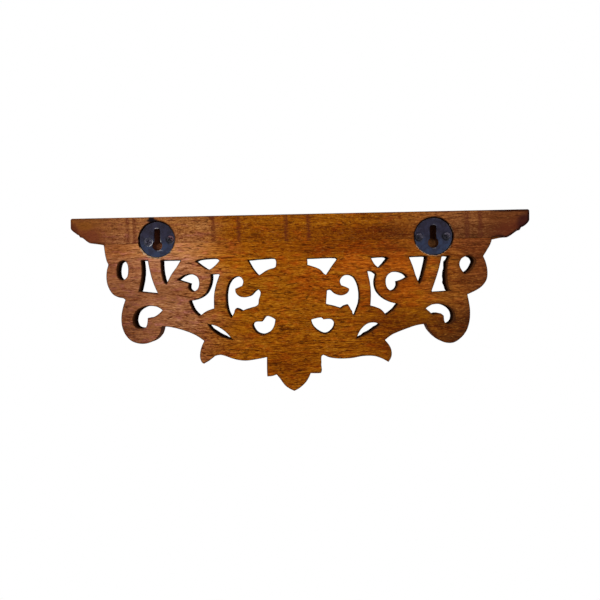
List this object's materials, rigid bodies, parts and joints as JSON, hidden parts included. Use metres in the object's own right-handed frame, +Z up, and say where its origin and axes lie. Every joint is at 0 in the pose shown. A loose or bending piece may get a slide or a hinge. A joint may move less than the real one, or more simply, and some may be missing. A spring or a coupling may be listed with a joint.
{
  "type": "floating shelf",
  "caption": "Small wooden wall shelf: a moulded board on a pierced scrollwork back panel with a centre bracket, hung from two keyhole plates.",
  "frame": {"origin": "on the wall plane, midway between the two keyholes, at the height where the wall screws' shanks sit", "axes": "+Z up, +Y out of the back face into the wall, +X along the board; the shelf stands out from the wall along -Y"},
  "size_m": [0.381, 0.127, 0.1473],
  "materials": {
    "board_wood": "stained and waxed hardwood, sawn back edge",
    "panel_wood": "stained and waxed hardwood, fine horizontal grain",
    "bracket_wood": "stained and waxed hardwood",
    "dowel_wood": "bare birch",
    "plate_steel": "black, semi-matt, scuffed",
    "screw_steel": "blackened, worn bright at the edges"
  },
  "bodies": {
    "root": {"shelf_board": "board_wood", "fret_panel": "panel_wood", "centre_bracket": "bracket_wood", "hanger_plate_left": "plate_steel", "hanger_plate_right": "plate_steel", "hanger_screw_1": "screw_steel", "hanger_screw_2": "screw_steel", "hanger_screw_3": "screw_steel", "hanger_screw_4": "screw_steel", "board_dowel_1": "dowel_wood", "board_dowel_2": "dowel_wood", "board_dowel_3": "dowel_wood", "board_dowel_4": "dowel_wood", "bracket_dowel_1": "dowel_wood", "bracket_dowel_2": "dowel_wood", "bracket_dowel_3": "dowel_wood", "bracket_dowel_4": "dowel_wood"}
  },
  "joints": []
}
